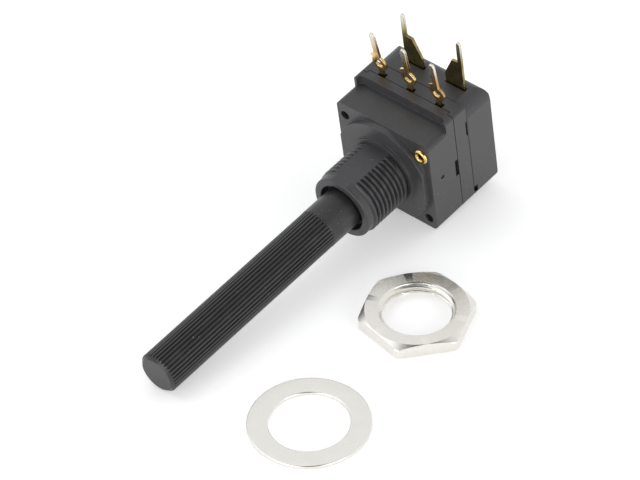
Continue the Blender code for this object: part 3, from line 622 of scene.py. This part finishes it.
def rivet_points(x, y, columns=56):
    """Each profile point (z, radius) is turned once round the rivet's own axis."""
    profile = rolled_head(FRONT_SEAT, 1.0)
    profile += [(FRONT_SEAT, RIVET_HEAD - 0.02), (FRONT_SEAT, RIVET_TUBE), (REAR_SEAT, RIVET_TUBE),
                (REAR_SEAT, RIVET_HEAD - 0.02)]
    profile += rolled_head(REAR_SEAT, -1.0)[::-1]
    profile += [(REAR_SEAT + 0.5, RIVET_HOLE), (FRONT_SEAT - 0.5, RIVET_HOLE)]
    heights, radii = np.array(profile).T
    angle = around(columns)
    px = x + radii[:, None] * np.cos(angle)
    py = y + radii[:, None] * np.sin(angle)
    return laid(np.stack([px, py, np.broadcast_to(heights[:, None], px.shape)], axis=-1))


for label, (x, y) in RIVET_PLACE.items():
    piece = grid_piece(f"{label}_rolled", rivet_points(x, y), rivet_brass, True, 50)
    place_piece(piece, "housing", "rivet_brass", label)

# %% [markdown]
# ## The hex nut
#
# Seen from above, a hexagon's edge is at half the width across flats divided by the cosine of the angle from
# the nearest flat's middle. The nut is chamfered by turning: a cone takes off the corners, and where the cone
# meets a flat side it leaves the well-known curved edge. The hole carries the same helix as the bushing, as a
# groove instead of a ridge.

# %% Nut
NUT_ACROSS_FLATS = 14.0
NUT_THICKNESS = 2.0
NUT_BORE = 4.62
NUT_GROOVE = 5.0
NUT_MOUTH = 5.15
NUT_CHAMFER_RADIUS = 6.95
NUT_CHAMFER_SLOPE = 0.5
NUT_TURN = math.radians(-9.0)
NUT_EDGE = 0.10


def nut_points(columns=360):
    """Outside r = half width / cos(angle from a flat's middle), held inside a cone at the top."""
    angle = around(columns)
    from_flat = (angle - np.pi / 6) % (np.pi / 3)
    from_flat = np.minimum(from_flat, np.pi / 3 - from_flat)
    sharp = NUT_ACROSS_FLATS / 2 / np.cos(from_flat)
    corner = NUT_ACROSS_FLATS / math.sqrt(3)
    side = corner - 0.16 - np.logaddexp(0, (corner - 0.16 - sharp) / 0.035) * 0.035
    side = np.minimum(side, sharp)
    drop = np.maximum(side - NUT_CHAMFER_RADIUS, 0.0) * NUT_CHAMFER_SLOPE
    flat_rim = np.minimum(side - NUT_EDGE, NUT_CHAMFER_RADIUS)
    rows = []
    top = np.full(columns, NUT_THICKNESS)
    for step in np.linspace(0.0, 1.0, 5):
        rows.append((flat_rim + (side - flat_rim) * step * 0.96, top - drop * step * 0.96 - 0.01 * step))
    rows.append((side, top - drop - NUT_EDGE * 0.6))
    for share in np.linspace(0.1, 0.9, 5):
        rows.append((side, (top - drop - NUT_EDGE) * (1 - share) + NUT_EDGE * share))
    for bend in np.linspace(0.0, np.pi / 2, 5):
        foot = np.full(columns, NUT_EDGE * (1 - np.sin(bend)))
        rows.append((side - NUT_EDGE + NUT_EDGE * np.cos(bend), foot))
    lead_in = NUT_MOUTH - NUT_BORE
    ones = np.ones(columns)
    rows.append((NUT_MOUTH * ones + 0.02, 0.0 * ones))
    for height in np.linspace(0.02, NUT_THICKNESS - 0.02, 56):
        funnel = max(lead_in - height, height - (NUT_THICKNESS - lead_in), 0.0)
        phase = (height / THREAD_PITCH - angle / (2 * np.pi)) % 1.0
        groove = smooth_step(np.abs(phase - 0.5), 0.12, 0.42)
        radius = NUT_BORE + (NUT_GROOVE - NUT_BORE) * groove
        rows.append((np.maximum(radius, NUT_BORE + funnel), height * ones))
    rows.append((NUT_MOUTH * ones + 0.02, NUT_THICKNESS * ones))
    radius = np.array([r for r, z in rows])
    height = np.array([z for r, z in rows])
    turned = angle + NUT_TURN
    centre = middle_of("hex_nut")
    return np.stack([centre[0] + MM * radius * np.cos(turned), centre[1] + MM * radius * np.sin(turned),
                     MM * height], axis=-1)


nut_piece = grid_piece("hex_nut_threaded", nut_points(), nut_plate, True, 24)
place_piece(nut_piece, "nut", "nickel_plate", "hex_nut")

# %% [markdown]
# ## The washer
#
# A washer is punched: the punch rolls the upper edges over and leaves the lower ones sharp, so its section is
# a rectangle with two round corners. It is also never quite flat, but here it stays on the table.

# %% Washer
WASHER_RADIUS = 8.1
WASHER_HOLE = 5.3
WASHER_THICKNESS = 0.5
WASHER_ROUND = 0.16


def washer_points(columns=200):
    """Section: up the outside, round the corner, across the top, round and down the hole."""
    bend = np.linspace(0.0, np.pi / 2, 6)
    rise = WASHER_THICKNESS - WASHER_ROUND
    outer = [(WASHER_RADIUS - WASHER_ROUND * (1 - math.cos(a)), rise + WASHER_ROUND * math.sin(a))
             for a in bend]
    inner = [(WASHER_HOLE + WASHER_ROUND * (1 - math.cos(a)), rise + WASHER_ROUND * math.sin(a))
             for a in bend[::-1]]
    edge = 0.03
    section = [(WASHER_RADIUS - edge, 0.0), (WASHER_RADIUS, edge)] + outer + inner
    section += [(WASHER_HOLE, edge), (WASHER_HOLE + edge, 0.0)]
    radii, heights = np.array(section).T
    angle = around(columns)
    centre = middle_of("flat_washer")
    x = centre[0] + MM * radii[:, None] * np.cos(angle)
    y = centre[1] + MM * radii[:, None] * np.sin(angle)
    return np.stack([x, y, np.broadcast_to(MM * heights[:, None], x.shape)], axis=-1)


washer_piece = grid_piece("punched_washer", washer_points(), washer_plate, True, 40)
place_piece(washer_piece, "washer", "nickel_plate", "flat_washer")

# %% [markdown]
# ## What is inside
#
# The rotor, the code wheel, the springs and the switch are only seen when the encoder is opened up, so the
# solid model's own pieces stay, with real finishes instead of plain colours.

# %% Inner pieces
INNER = {inner_plastic: ("rotor", "plunger"), contact_brass: ("code_wheel", "rim_contact", "centre_contact"),
         spring_strip: ("retaining_ring", "detent_spring", "snap_dome", "wiper_a", "wiper_common", "wiper_b")}
for material, labels in INNER.items():
    for label in labels:
        kept = frame["nodes"][label]
        if kept.material_slots:
            kept.material_slots[0].material = material
        else:
            kept.data.materials.append(material)
    print(material.name, "goes on", ", ".join(labels))
